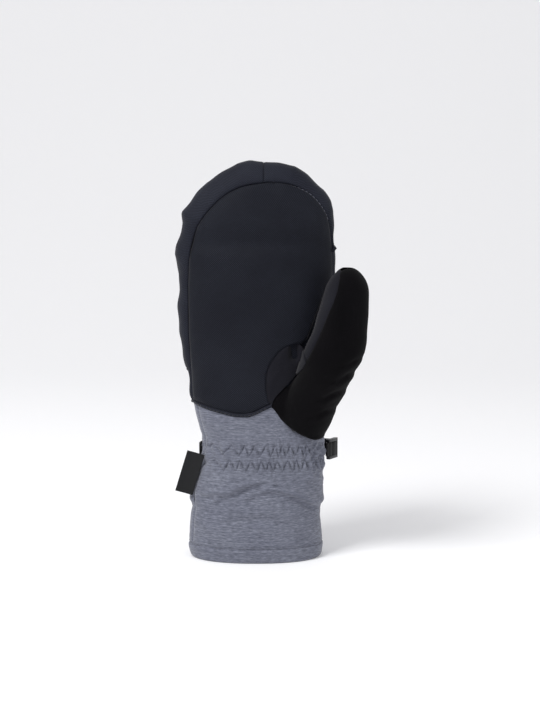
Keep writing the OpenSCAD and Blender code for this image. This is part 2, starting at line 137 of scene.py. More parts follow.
def heather_knit(name, dark, mid, light):
    """Brushed polyester softshell in melange yarn: short level streaks of lighter and darker fibre."""
    material, tree, shader = cloth(name)
    uv = add(tree, "ShaderNodeUVMap", uv_map="weave").outputs[0]
    # yarns 0.55 mm high; their slubs 3 to 6 mm long, drawn a little coarse so that they show
    slub = add(tree, "ShaderNodeTexNoise", {"Vector": stretched(tree, uv, 260, 1500)}, Scale=1.0, Detail=2.5, Roughness=0.6)
    long_slub = add(tree, "ShaderNodeTexNoise", {"Vector": stretched(tree, uv, 60, 900)}, Scale=1.0, Detail=1.0)
    patch = add(tree, "ShaderNodeTexNoise", {"Vector": stretched(tree, uv, 25, 40)}, Scale=1.0, Detail=2.0)
    base = shades(tree, slub.outputs[0], (0.28, dark), (0.75, light), (0.5, mid))
    streak = shades(tree, long_slub.outputs[0], (0.38, "9a9ba6"), (0.66, "ffffff"))
    tone = shades(tree, patch.outputs[0], (0.3, "e4e4ea"), (0.7, "ffffff"))
    both = blended(tree, 0.35, base, blended(tree, 1.0, base, streak, "MULTIPLY"))
    tree.links.new(blended(tree, 0.6, both, blended(tree, 1.0, both, tone, "MULTIPLY")), shader.inputs["Base Color"])
    shader.inputs["Roughness"].default_value = 0.92
    shader.inputs["Sheen Weight"].default_value = 0.25
    shader.inputs["Sheen Roughness"].default_value = 0.5
    shader.inputs["Specular IOR Level"].default_value = 0.2
    bump(tree, shader, slub.outputs[0], 0.35, 0.0003)
    return material


def stretch_twill(name, low, high, gloss=0.72):
    """Stretch softshell with a fine crossed weave: tiny dots in rows, with a faint blue lift."""
    material, tree, shader = cloth(name)
    uv = add(tree, "ShaderNodeUVMap", uv_map="weave").outputs[0]
    # dots 1 mm apart, twice the real spacing so that they show
    turned = add(tree, "ShaderNodeMapping", {"Vector": uv}, Rotation=(0, 0, math.radians(45)))
    warp = add(tree, "ShaderNodeTexWave", {"Vector": turned.outputs[0]}, Scale=310.0, Distortion=0.5, bands_direction="X")
    weft = add(tree, "ShaderNodeTexWave", {"Vector": turned.outputs[0]}, Scale=310.0, Distortion=0.5, bands_direction="Y")
    dots = add(tree, "ShaderNodeMath", {0: warp.outputs["Fac"], 1: weft.outputs["Fac"]}, operation="MULTIPLY")
    fuzz = add(tree, "ShaderNodeTexNoise", {"Vector": uv}, Scale=1400.0, Detail=2.0)
    cloud = add(tree, "ShaderNodeTexNoise", {"Vector": uv}, Scale=22.0, Detail=3.0)
    mottle = add(tree, "ShaderNodeMath", {0: dots.outputs[0], 1: fuzz.outputs[0]}, operation="MULTIPLY")
    base = shades(tree, mottle.outputs[0], (0.02, low), (0.42, high))
    tone = shades(tree, cloud.outputs[0], (0.35, "d2d2dc"), (0.65, "ffffff"))
    tree.links.new(blended(tree, 1.0, base, tone, "MULTIPLY"), shader.inputs["Base Color"])
    shader.inputs["Roughness"].default_value = gloss
    shader.inputs["Sheen Weight"].default_value = 0.05
    shader.inputs["Sheen Roughness"].default_value = 0.4
    shader.inputs["Specular IOR Level"].default_value = 0.14
    bump(tree, shader, mottle.outputs[0], 0.5, 0.00025)
    return material


def suede(name, low, high, sheen):
    """Synthetic suede: a short brushed nap with no weave, dull, with soft lighter strokes where the nap is turned."""
    material, tree, shader = cloth(name)
    uv = add(tree, "ShaderNodeUVMap", uv_map="weave").outputs[0]
    nap = add(tree, "ShaderNodeTexNoise", {"Vector": uv}, Scale=1700.0, Detail=3.0, Roughness=0.7)
    stroke = add(tree, "ShaderNodeTexNoise", {"Vector": stretched(tree, uv, 60, 22)}, Scale=1.0, Detail=2.0)
    base = shades(tree, nap.outputs[0], (0.3, low), (0.75, high))
    tone = shades(tree, stroke.outputs[0], (0.35, "c4c4cc"), (0.7, "ffffff"))
    tree.links.new(blended(tree, 1.0, base, tone, "MULTIPLY"), shader.inputs["Base Color"])
    shader.inputs["Roughness"].default_value = 0.95
    shader.inputs["Sheen Weight"].default_value = sheen
    shader.inputs["Sheen Roughness"].default_value = 0.6
    shader.inputs["Specular IOR Level"].default_value = 0.05
    bump(tree, shader, nap.outputs[0], 0.4, 0.0002)
    return material


def narrow_weave(name, low, high, ribs, rough=0.6):
    """Narrow woven goods, such as webbing, elastic or a satin label: ribs across with fine ends along."""
    material, tree, shader = cloth(name)
    uv = add(tree, "ShaderNodeUVMap", uv_map="weave").outputs[0]
    rib = add(tree, "ShaderNodeTexWave", {"Vector": uv}, Scale=ribs, Distortion=0.3, bands_direction="X")
    end = add(tree, "ShaderNodeTexWave", {"Vector": uv}, Scale=ribs * 1.6, Distortion=0.4, bands_direction="Y")
    both = add(tree, "ShaderNodeMath", {0: rib.outputs["Fac"], 1: end.outputs["Fac"]}, operation="MULTIPLY")
    tree.links.new(shades(tree, both.outputs[0], (0.05, low), (0.6, high)), shader.inputs["Base Color"])
    shader.inputs["Roughness"].default_value = rough
    shader.inputs["Specular IOR Level"].default_value = 0.35
    bump(tree, shader, both.outputs[0], 0.6, 0.0002)
    return material


def fleece(name, low, high, grain=500.0):
    """Brushed tricot or fibre pad: soft short pile in small tufts."""
    material, tree, shader = cloth(name)
    place = add(tree, "ShaderNodeTexCoord").outputs["Object"]
    pile = add(tree, "ShaderNodeTexNoise", {"Vector": place}, Scale=grain, Detail=4.0, Roughness=0.7)
    tree.links.new(shades(tree, pile.outputs[0], (0.3, low), (0.7, high)), shader.inputs["Base Color"])
    shader.inputs["Roughness"].default_value = 0.97
    shader.inputs["Sheen Weight"].default_value = 0.3
    bump(tree, shader, pile.outputs[0], 0.8, 0.0006)
    return material


def acetal(name):
    """Black acetal, injection moulded with a fine spark-eroded face: dull, with a soft broad highlight."""
    material, tree, shader = cloth(name)
    place = add(tree, "ShaderNodeTexCoord").outputs["Object"]
    grain = add(tree, "ShaderNodeTexNoise", {"Vector": place}, Scale=2500.0, Detail=2.0)
    tree.links.new(shades(tree, grain.outputs[0], (0.3, "0d0d10"), (0.75, "1b1b20")), shader.inputs["Base Color"])
    shader.inputs["Roughness"].default_value = 0.42
    bump(tree, shader, grain.outputs[0], 0.25, 0.0001)
    return material


def plain_floor():
    data = bpy.data.materials.new("seamless_paper")
    data.use_nodes = True
    shader = data.node_tree.nodes["Principled BSDF"]
    shader.inputs["Base Color"].default_value = srgb("f6f6f7")
    shader.inputs["Roughness"].default_value = 0.9
    shader.inputs["Emission Color"].default_value = srgb("f6f6f7")
    shader.inputs["Emission Strength"].default_value = 0.08
    sheet = bmesh.new()
    bmesh.ops.create_grid(sheet, x_segments=1, y_segments=120, size=6.0)
    for v in sheet.verts:
        over = max(v.co.y - 1.0, 0.0)
        turn = min(over / 1.5, math.pi / 2)
        v.co.y = min(v.co.y, 1.0) + 1.5 * math.sin(turn)
        v.co.z = 1.5 * (1 - math.cos(turn)) + max(over - 1.5 * math.pi / 2, 0.0)
    mesh = bpy.data.meshes.new("floor")
    sheet.to_mesh(mesh)
    sheet.free()
    for face in mesh.polygons:
        face.use_smooth = True
    mesh.materials.append(data)
    floor = bpy.data.objects.new("floor", mesh)
    bpy.context.scene.collection.objects.link(floor)


make_camera()
world = bpy.data.worlds.new("studio")
world.use_nodes = True
world.node_tree.nodes["Background"].inputs[0].default_value = srgb("f5f5f7")
world.node_tree.nodes["Background"].inputs[1].default_value = 0.66
bpy.context.scene.world = world
bpy.context.scene.view_settings.view_transform = "Standard"
soft_box("key", (-0.8, -0.9, 1.5), (0, 0, 0.15), 0.7, 24)
soft_box("fill", (1.2, -1.2, 0.5), (0, 0, 0.15), 0.9, 4)
plain_floor()

GREY_HEATHER = heather_knit("brushed_heather_softshell", "545760", "6f727e", "8a8d9a")
PALM = stretch_twill("stretch_twill_softshell", "0b0d13", "272a36")
WALL = stretch_twill("stretch_twill_side", "15171f", "2f323e")
BLACK_SUEDE = suede("black_synthetic_suede", "030204", "09080b", 0.03)
GREY_SUEDE = suede("charcoal_synthetic_suede", "141419", "25252c", 0.06)
WEBBING = narrow_weave("black_polyester_webbing", "08080a", "232328", 240.0)
SATIN = narrow_weave("black_woven_satin", "020306", "08090d", 700.0, 0.6)
ELASTIC = narrow_weave("black_braided_elastic", "151517", "29292d", 260.0, 0.8)
THREAD_DARK = fleece("black_spun_thread", "0a0a0d", "1c1c22", 1500.0)
THREAD_GREY = fleece("grey_spun_thread", "4a4c56", "74778a", 1500.0)
LINING = fleece("charcoal_brushed_tricot", "17181c", "2f3138")
FIBRE = fleece("polyester_fibre_pad", "cfcdc4", "f0eee6", 300.0)
FILM = fleece("charcoal_laminated_membrane", "1b1c21", "2b2d34", 900.0)
HARD_BLACK = acetal("black_moulded_acetal")

# ---------------------------------------------------------------- the mitten's form, in millimetres

def curve(points, at):
    """A smooth curve through (place, value) points that does not overshoot."""
    p = sorted(points)
    x = np.array([a for a, b in p], float)
    y = np.array([b for a, b in p], float)
    at = np.clip(np.asarray(at, float), x[0], x[-1])
    k = np.clip(np.searchsorted(x, at, side="right") - 1, 0, len(x) - 2)
    h = np.diff(x)
    d = np.diff(y) / h
    m = np.zeros(len(x))
    inner = d[:-1] * d[1:] > 0
    w = 2 * d[:-1] * d[1:] / np.where(inner, d[:-1] + d[1:], 1)
    m[1:-1] = np.where(inner, w, 0)
    m[0], m[-1] = d[0], d[-1]
    u = (at - x[k]) / h[k]
    return (y[k] * (1 + 2 * u) * (1 - u) ** 2 + y[k + 1] * u * u * (3 - 2 * u)
            + h[k] * u * (1 - u) * (m[k] * (1 - u) - m[k + 1] * u))


LEFT_EDGE = [(0, -48.8), (4, -50), (11.7, -50.4), (20, -50.2), (29, -49.2), (38, -48.2), (46, -49), (52, -48.2), (59, -46.4),
             (64, -44.6), (68, -43.2), (74, -41.4), (81, -40.8), (89, -40.6), (94, -42), (98, -43), (106.7, -45.2), (111, -46),
             (115, -47.6), (120, -49), (128, -49.4), (137, -50.4), (141, -52), (150, -54), (158, -54.3), (167, -56), (176, -57),
             (184, -57.4), (197, -56), (206, -55.6), (214.7, -57.6), (222, -59)]
RIGHT_EDGE = [(0, 47), (4, 48), (11.7, 48.2), (20, 47.6), (29, 46.4), (38, 47.6), (46, 48.8), (54, 48.4), (59, 47.8), (68, 48.8),
              (74, 49.4), (81, 49.6), (89, 49.2), (94, 49.2), (104, 50), (115, 51.5), (130, 53), (150, 54.6), (180, 56), (206, 56.4),
              (222, 56.2)]
# The fingertips' outline from the thumb side over the top: flat stretches between soft corners
TIP_EDGE = [(56.2, 222), (56, 228), (54.9, 236), (54.7, 245), (54.5, 253.6), (52.6, 260), (47.8, 268), (42.5, 273), (36, 278.5),
            (27.4, 284.6), (12, 287.2), (-4.3, 288.4), (-13.7, 286.6), (-22, 281.8), (-30, 277.4), (-36, 273.4), (-42.5, 266),
            (-48, 258.6), (-53.4, 252), (-52.9, 245), (-55.4, 236), (-58, 228), (-59, 222)]
HALF_DEPTH = [(0, 32), (20, 31.6), (40, 30.5), (66, 27.5), (80, 26.4), (95, 27.2), (112, 28.4), (150, 29), (222, 28.6), (290, 27)]
SQUARE = 2.2
TIP_Z = 222.0
TIP_X = -1.4


def tip_polar():
    p = np.array(TIP_EDGE, float)
    fine = []
    for k in range(len(p) - 1):
        for s in np.linspace(0, 1, 8, endpoint=False):
            fine.append(p[k] * (1 - s) + p[k + 1] * s)
    fine = np.array(fine + [p[-1]])
    angle = np.arctan2(fine[:, 1] - TIP_Z, fine[:, 0] - TIP_X)
    reach = np.hypot(fine[:, 0] - TIP_X, fine[:, 1] - TIP_Z)
    grid = np.linspace(0, math.pi, 361)
    table = np.interp(grid, angle, reach)
    soft = np.convolve(np.pad(table, 2, mode="edge"), np.ones(5) / 5, mode="valid")
    return grid, soft


POLAR_ANGLE, POLAR_REACH = tip_polar()


def rho(x, z, inset=0.0):
    """How far a point seen from the front lies from the middle to the outline, or to one inside it: 0 to 1."""
    x, z = np.asarray(x, float), np.asarray(z, float)
    left, right = curve(LEFT_EDGE, z), curve(RIGHT_EDGE, z)
    low = np.abs(x - (left + right) / 2) / ((right - left) / 2 - inset)
    up = np.maximum(z - TIP_Z, 0)
    angle = np.arctan2(up, x - TIP_X)
    high = np.hypot(x - TIP_X, up) / (np.interp(angle, POLAR_ANGLE, POLAR_REACH) - inset)
    return np.where(z <= TIP_Z, low, high)


def curl(z):
    return -8.0 * (np.maximum(np.asarray(z, float) - 185, 0) / 104) ** 2


def depth_at(x, z):
    r = np.clip(rho(x, z), 0, 1)
    return curve(HALF_DEPTH, z) * (1 - r ** SQUARE) ** (1 / SQUARE)


# ---- the thumb: a tapering tube that leans out from the palm

THUMB_X = [(92, 30.0), (102, 34.0), (112, 37.6), (120, 41), (130, 45), (140, 49.5), (150, 53.0), (160, 56.0), (170, 58.8), (180, 60.6),
           (190, 62.0), (200, 63.2), (214, 64.0)]
THUMB_HALF = [(92, 19), (102, 19.5), (112, 19.2), (120, 19.8), (130, 19.4), (140, 20.2), (150, 21.2), (160, 20.4), (170, 18.6),
              (180, 17.8), (190, 16.2), (200, 14.6), (214, 12.5)]
THUMB_FRONT = [(92, -10), (112, -16), (135, -28), (158, -36.5), (214, -37)]
THUMB_DEEP = [(92, 17), (112, 19), (135, 19), (158, 16.5), (214, 13)]
THUMB_DOME = 197.0
THUMB_TOP = 214.0


def thumb_share(z, inset=0.0):
    u = np.clip((np.asarray(z, float) - THUMB_DOME) / (THUMB_TOP - THUMB_DOME - inset), 0, 1)
    return np.sqrt(np.maximum(1 - u ** 2.2, 1e-4))


def thumb_field(x, y, z, inset=0.0):
    share = thumb_share(z, inset)
    a, b = (curve(THUMB_HALF, z) - inset) * share, (curve(THUMB_DEEP, z) - inset) * share
    return (np.abs((x - curve(THUMB_X, z)) / a) ** SQUARE + np.abs((y - curve(THUMB_FRONT, z)) / b) ** SQUARE) ** (1 / SQUARE)


def hand_field(x, y, z, inset=0.0):
    flat = np.abs((y - curl(z)) / (curve(HALF_DEPTH, z) - inset))
    return (np.clip(rho(x, z, inset), 0, 3) ** SQUARE + flat ** SQUARE) ** (1 / SQUARE)


def both_field(x, y, z, soft=14.0):
    """The hand and the thumb run together with a small fillet where they meet."""
    a, b = hand_field(x, y, z), thumb_field(x, y, z)
    return -np.log(np.exp(-soft * a) + np.exp(-soft * b)) / soft + 0.0


def front_surface(x, z):
    """The furthest forward point of hand and thumb together, seen from the front."""
    hand = curl(z) - depth_at(x, z)
    share = thumb_share(z)
    a, b = curve(THUMB_HALF, z) * share, curve(THUMB_DEEP, z) * share
    r = np.clip(np.abs(x - curve(THUMB_X, z)) / a, 0, 1)
    thumb = curve(THUMB_FRONT, z) - b * (1 - r ** SQUARE) ** (1 / SQUARE)
    thumb = np.where(r < 0.999, thumb, 50.0)
    k = 0.9
    return -np.log(np.exp(-k * np.clip(hand, -60, 20)) + np.exp(-k * np.clip(thumb, -60, 20))) / k


# ---------------------------------------------------------------- building pieces

def to_line(x, z, line):
    """Distance to a line of points seen from the front, and which side of it."""
    best = np.full(np.shape(x), 1e9)
    side = np.zeros(np.shape(x))
    for (ax, az), (bx, bz) in zip(line[:-1], line[1:]):
        dx, dz = bx - ax, bz - az
        t = np.clip(((x - ax) * dx + (z - az) * dz) / (dx * dx + dz * dz), 0, 1)
        d = np.hypot(x - ax - t * dx, z - az - t * dz)
        near = d < best
        best = np.where(near, d, best)
        side = np.where(near, np.sign(dx * (z - az) - dz * (x - ax)), side)
    return best, side


def fold(x, z, line, wide, deep, lip=0.6):
    """A crease that fades at its ends, with a soft roll standing on one side of it."""
    d, side = to_line(x, z, line)
    length = np.array(line, float)
    ends = np.minimum(np.hypot(x - length[0, 0], z - length[0, 1]), np.hypot(x - length[-1, 0], z - length[-1, 1]))
    fade = np.clip(0.35 + ends / 14, 0, 1)
    return fade * (-deep * np.exp(-(d / wide) ** 2) + lip * deep * np.exp(-((side * d - 1.9 * wide) / (1.3 * wide)) ** 2))


LAID = {}


def laid(name, u, v, lift=0.0):
    """A point on a finished panel, and the way its cloth faces, in millimetres."""
    P = LAID[name]
    rows, cols = P.shape[:2]
    u, v = np.clip(np.asarray(u, float), 0, 1) * (cols - 1), np.clip(np.asarray(v, float), 0, 1) * (rows - 1)
    i, j = np.minimum(u.astype(int), cols - 2), np.minimum(v.astype(int), rows - 2)
    a, b = (u - i)[..., None], (v - j)[..., None]
    low, high = P[j, i] * (1 - a) + P[j, i + 1] * a, P[j + 1, i] * (1 - a) + P[j + 1, i + 1] * a
    way = np.cross(P[j, i + 1] - P[j, i] + P[j + 1, i + 1] - P[j + 1, i], high - low)
    way = way / np.maximum(np.linalg.norm(way, axis=-1, keepdims=True), 1e-9)
    if LAID[name + " flip"]:
        way = -way
    return low * (1 - b) + high * b + way * lift, way


def seated(name, line, lift=0.0):
    """The points of a panel that lie on a line drawn over it from the front."""
    P = LAID[name]
    rows, cols = P.shape[:2]
    spots = []
    for x, z in line:
        near = np.argmin((P[..., 0] - x) ** 2 + (P[..., 2] - z) ** 2)
        u, v = near % cols / (cols - 1), near // cols / (rows - 1)
        for _ in range(6):
            at = laid(name, u, v)[0]
            du = (laid(name, u + 0.004, v)[0] - laid(name, u - 0.004, v)[0]) / 0.008
            dv = (laid(name, u, v + 0.004)[0] - laid(name, u, v - 0.004)[0]) / 0.008
            m = np.array([[du[0], dv[0]], [du[2], dv[2]]])
            if abs(np.linalg.det(m)) < 1e-6:
                break
            step = np.linalg.solve(m, [x - at[0], z - at[2]])
            u, v = float(np.clip(u + np.clip(step[0], -0.02, 0.02), 0, 1)), float(np.clip(v + np.clip(step[1], -0.02, 0.02), 0, 1))
        spots.append(laid(name, u, v, lift))
    return np.array([a for a, b in spots]), np.array([b for a, b in spots])


def stitches(name, spots, facing, material, long=2.3, gap=0.9, thick=0.3, sunk=0.35, **where):
    """A row of single stitches along points on the cloth, each a small drawn-out bead."""
    spots, facing = np.asarray(spots), np.asarray(facing)
    run = np.concatenate([[0], np.cumsum(np.linalg.norm(np.diff(spots, axis=0), axis=1))])
    bm = bmesh.new()
    for k in range(int(run[-1] // (long + gap))):
        ends = [k * (long + gap), k * (long + gap) + long]
        a, b = (np.array([np.interp(e, run, spots[:, i]) for i in range(3)]) for e in ends)
        n = Vector([np.interp(sum(ends) / 2, run, facing[:, i]) for i in range(3)]).normalized()
        along = Vector(b - a)
        half = along.length / 2
        along.normalize()
        side = n.cross(along).normalized()
        turn = Matrix((along, side, n)).transposed().to_4x4()
        middle = Vector((a + b) / 2) + n * (thick - sunk)
        size = Matrix.Diagonal((half + thick, thick, thick, 1.0))
        bmesh.ops.create_uvsphere(bm, u_segments=6, v_segments=4, radius=1.0,
                                  matrix=Matrix.Scale(MM, 4) @ Matrix.Translation(middle) @ turn @ size)
    mesh = bpy.data.meshes.new(name)
    bm.to_mesh(mesh)
    bm.free()
    return piece(name, mesh, material, **where)


def piece(name, mesh, material, body=None, replaces=(), slot=None):
    mesh.materials.append(material)
    made = bpy.data.objects.new(name, mesh)
    bpy.context.scene.collection.objects.link(made)
    for face in mesh.polygons:
        face.use_smooth = True
    if body:
        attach(made, body)
    if replaces:
        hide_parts(*replaces)
    return made


def draped(name, across, up, shape, material, raise_by=None, edge=(1.2, 2.2), crown=(0.0, 10.0), closed=False, thick=0.9,
           edges="lrbt", flip=False, level=False, fill=None, **where):
    """A panel of cloth: a fine grid laid on the form, its edges drawn down into their seams, its middle crowned."""
    bm = bmesh.new()
    bmesh.ops.create_grid(bm, x_segments=across, y_segments=up, size=0.5)
    flat = np.array([v.co for v in bm.verts], float)
    us, vs = np.unique(np.round(flat[:, 0] + 0.5, 5)), np.unique(np.round(flat[:, 1] + 0.5, 5))
    col = np.searchsorted(us, np.round(flat[:, 0] + 0.5, 5) - 1e-6)
    row = np.searchsorted(vs, np.round(flat[:, 1] + 0.5, 5) - 1e-6)
    U, V = np.meshgrid(us, vs)
    P = np.stack(shape(U, V), -1).astype(float)
    du = np.gradient(P, axis=1)
    dv = np.gradient(P, axis=0)
    if closed:
        du[:, 0] = du[:, -1] = P[:, 1] - P[:, -2]
    N = np.cross(du, dv)
    size = np.linalg.norm(N, axis=-1, keepdims=True)
    N = np.where(size > 1e-9, N / np.maximum(size, 1e-9), 0)
    if flip:
        N = -N
    step_u = np.linalg.norm(np.diff(P, axis=1), axis=-1)
    step_v = np.linalg.norm(np.diff(P, axis=0), axis=-1)
    run_u = np.concatenate([np.zeros((len(vs), 1)), np.cumsum(step_u, 1)], 1)
    run_v = np.concatenate([np.zeros((1, len(us))), np.cumsum(step_v, 0)], 0)
    gaps = []
    if "l" in edges:
        gaps.append(run_u)
    if "r" in edges:
        gaps.append(run_u[:, -1:] - run_u)
    if "b" in edges:
        gaps.append(run_v)
    if "t" in edges:
        gaps.append(run_v[-1:, :] - run_v)
    lift = np.zeros(U.shape)
    if gaps:
        near = np.min(gaps, axis=0)
        lift = -edge[0] * np.exp(-(near / edge[1]) ** 1.5) + crown[0] * (1 - np.exp(-(near / crown[1]) ** 2))
    if raise_by is not None:
        lift = lift + raise_by(P[..., 0], P[..., 1], P[..., 2], U, V)
    P = P + N * lift[..., None]
    LAID[name], LAID[name + " flip"] = P, flip
    P = P * MM
    bm.verts.ensure_lookup_table()
    for v, c, r in zip(bm.verts, col, row):
        v.co = P[r, c]
    uv = bm.loops.layers.uv.new("weave")
    middle = len(us) // 2
    wide = (run_u - run_u[:, middle:middle + 1]) * MM
    high = P[..., 2] if level else np.repeat(run_v[:, middle:middle + 1], len(us), 1) * MM
    place = {v.index: (wide[r, c], high[r, c]) for v, c, r in zip(bm.verts, col, row)}
    bm.verts.index_update()
    for f in bm.faces:
        for loop in f.loops:
            loop[uv].uv = place[loop.vert.index]
    if flip:
        bmesh.ops.reverse_faces(bm, faces=bm.faces)
    bmesh.ops.remove_doubles(bm, verts=bm.verts, dist=0.00001)
    mesh = bpy.data.meshes.new(name)
    bm.to_mesh(mesh)
    bm.free()
    made = piece(name, mesh, material, **where)
    wall = made.modifiers.new("cloth", "SOLIDIFY")
    wall.thickness, wall.offset = thick * MM, -1.0
    return made


def laid_rows(bottom, left, right, low, high, sag_from=None, ease=0.95, hug_right=False):
    """Rows across a panel from its left edge to its right, rows closing up towards a rounded top."""
    def shape(U, V):
        g = V * (1 + ease) - ease * V * V
        z = low + (high - low) * g
        x0, x1 = curve(left, z), curve(right, z)
        s = 1 - (1 - U) ** 1.8 if hug_right else U
        x = x0 + (x1 - x0) * s
        if bottom is not None:
            z = z + (curve(bottom, x) - low) * (1 - V) ** 3
        return x, z
    return shape


PALM_LEFT = [(112, -47.2), (116, -47.6), (146, -49), (167, -50.2), (196, -50.2), (213, -49.4), (225, -48.2), (233, -46.4), (241, -43.4),
             (251, -36.7), (258, -30.6), (263.5, -24.6), (268, -17.5), (271.4, -8), (273, 2), (273.8, 8), (274, 12)]
PALM_RIGHT = [(112, 50.6), (125, 51.9), (150, 54.0), (180, 55.4), (206, 55.8), (222, 55.6), (232, 54.6), (240, 53.6), (248, 51.8), (256, 47.6),
              (262, 42.8), (267, 37), (270.5, 30), (272.8, 22.5), (273.7, 17), (274, 12)]
PALM_FOOT = [(-52, 115.4), (-47.5, 114.6), (-36.7, 111.6), (-22.3, 108.4), (-14, 107), (-7, 107), (-2.2, 108.3), (5, 111.8), (9.4, 113.8),
             (20, 119), (40, 128), (58, 132)]
BLACK_LEFT = [(114.5, 9.6), (118, 10.4), (129, 19.4), (138.4, 28), (147, 33.6), (161, 40.2), (176, 47.2), (189, 52.4), (197, 55.4),
              (209, 58.4), (214, 61)]
BLACK_FOOT = [(9, 114.6), (12, 111.6), (18, 104), (26.6, 96.6), (35.3, 91.6), (43.9, 89.2), (49, 90), (56, 94)]
CRESCENT = [(10.2, 115), (7.6, 120), (6.2, 128), (6.2, 137), (9, 145), (15, 153), (21, 157.2), (27, 159), (32, 159.4)]


FOOT_OF_THUMB = CRESCENT + [(36, 163), (44, 184), (50, 200), (60, 215)]


def on_front(x, z):
    return x, curl(z) - depth_at(x, z), z


def hollow(x, z, cx, cz, wx, wz, deep):
    return -deep * np.exp(-((x - cx) / wx) ** 2 - ((z - cz) / wz) ** 2)


def palm_shape(U, V):
    x, z = laid_rows(PALM_FOOT, PALM_LEFT, PALM_RIGHT, 114, 274, hug_right=True)(U, V)
    return on_front(x, z)


def palm_relief(x, y, z, U, V):
    face = np.clip(-y / 16, 0, 1)
    lift = hollow(x, z, -2, 231, 44, 8, 3.3) + hollow(x, z, 34, 214, 22, 22, 1.8)
    lift = lift - hollow(x, z, -20, 250, 26, 13, 0.8) - hollow(x, z, -18, 200, 26, 17, 0.9)
    lift = lift + hollow(x, z, 26, 172, 14, 26, 1.2) - hollow(x, z, -22, 140, 24, 18, 0.7)
    d, side = to_line(x, z, FOOT_OF_THUMB)
    free = np.clip((x - 45) / 5, 0, 1) * np.clip((z - 150) / 8, 0, 1)
    lift = lift - 2.4 * np.clip(0.35 - side * d / 1.6, 0, 1) * (1 - free)
    wave = 0.35 * np.sin(x / 9 + 1.3 * np.sin(z / 23)) * np.sin(z / 17 + 0.6)
    return face * (lift + wave)


palm = draped("palm_panel_twill", 150, 210, palm_shape, PALM, palm_relief, edge=(1.5, 1.9), crown=(0.9, 9), thick=1.0,
              replaces=["palm_panel"], slot="stretch_twill")
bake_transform(palm)


# ---- the side wall, in two halves that meet at the fingertip seam

def outline_run(points, count):
    p = np.array(points, float)
    run = np.concatenate([[0], np.cumsum(np.hypot(*np.diff(p, axis=0).T))])
    at = np.linspace(0, run[-1], count)
    return np.stack([np.interp(at, run, p[:, 0]), np.interp(at, run, p[:, 1])], 1)


def tip_outline():
    angle = np.linspace(0, math.pi, 200)
    reach = np.interp(angle, POLAR_ANGLE, POLAR_REACH)
    return [(TIP_X + r * math.cos(a), TIP_Z + r * math.sin(a)) for a, r in zip(angle, reach)]


TIP_LINE = tip_outline()
SEAM_X = 5.0


def wall(name, side, material, node):
    crest = float(np.interp(SEAM_X, [x for x, z in TIP_LINE[::-1]], [z for x, z in TIP_LINE[::-1]]))
    if side < 0:
        tops = [(x, z) for x, z in TIP_LINE[::-1] if x < SEAM_X] + [(SEAM_X, crest)]
        rim = [(float(curve(LEFT_EDGE, z)), z) for z in np.linspace(114.6, 220, 60)] + tops
        inner = [(float(curve(PALM_LEFT, z)), z) for z in np.concatenate([np.linspace(114.6, 272, 120), [273.2, 273.6]])]
        inner = [q for q in inner if q[0] <= SEAM_X] + [(SEAM_X, 273.5)]
    else:
        tops = [(x, z) for x, z in TIP_LINE if x > SEAM_X] + [(SEAM_X, crest)]
        rim = [(float(curve(RIGHT_EDGE, z)), z) for z in np.linspace(104, 220, 60)] + tops
        inner = [(float(curve(PALM_RIGHT, z)) - (1.2 if z < 225 else 0), z) for z in np.concatenate([np.linspace(110, 272, 120), [273.2, 273.8]])]
        inner = [q for q in inner if q[0] >= 12] + [(9, 273.9), (SEAM_X, 273.5)]
    count = 240
    rim, inner = outline_run(rim, count + 1), outline_run(inner, count + 1)
    middle_x = np.where(rim[:, 1] > TIP_Z, TIP_X, (curve(LEFT_EDGE, rim[:, 1]) + curve(RIGHT_EDGE, rim[:, 1])) / 2)
    middle_z = np.minimum(rim[:, 1], TIP_Z)
    back = np.stack([middle_x + 0.9 * (rim[:, 0] - middle_x), middle_z + 0.9 * (rim[:, 1] - middle_z)], 1)

    def shape(U, V):
        k = V * count
        at = lambda p: np.stack([np.interp(k, np.arange(count + 1), p[:, 0]), np.interp(k, np.arange(count + 1), p[:, 1])], -1)
        M, A, B = at(rim), at(inner), at(back)
        t = U * 2 - 1
        h = np.abs(t)[..., None] ** SQUARE
        Q = np.where(t[..., None] < 0, M + (A - M) * h, M + (B - M) * h)
        x, z = Q[..., 0], Q[..., 1]
        d = depth_at(x, z)
        y = curl(z) + np.where(t < 0, -d, d)
        return x, y, z

    def relief(x, y, z, U, V):
        lift = 0.35 * np.sin(V * 61) * np.sin(U * 3.1) ** 2 + 0.3 * np.sin(V * 27 + 2) * np.sin(U * 3.1)
        if side > 0:
            # tucked under the palm's edge, and under the thumb's panel at the foot
            lift = lift - 0.9 * np.clip(1 - U * 14, 0, 1) * np.clip((228 - z) / 10, 0, 1) - 0.9 * np.clip((152 - z) / 6, 0, 1)
        return lift * np.clip(V * 12, 0, 1) * np.clip((1 - V) * 20, 0, 1) - 0.6 * np.exp(-((1 - V) * 270 / 1.1) ** 2)

    made = draped(name, 44, 240, shape, material, relief, edge=(1.4, 1.6), crown=(0.5, 6), edges="lr", flip=side < 0,
                  replaces=[node], slot="stretch_twill")
    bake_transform(made)
    return made


wall("side_wall_outer", -1, WALL, "gusset_outer")
wall("side_wall_inner", 1, WALL, "gusset_inner")

# ---- the back

BACK_LINE = [(TIP_X + 0.9 * (x - TIP_X), TIP_Z + 0.9 * (z - TIP_Z)) for x, z in TIP_LINE]
BACK_TOP = max(BACK_LINE, key=lambda q: q[1])


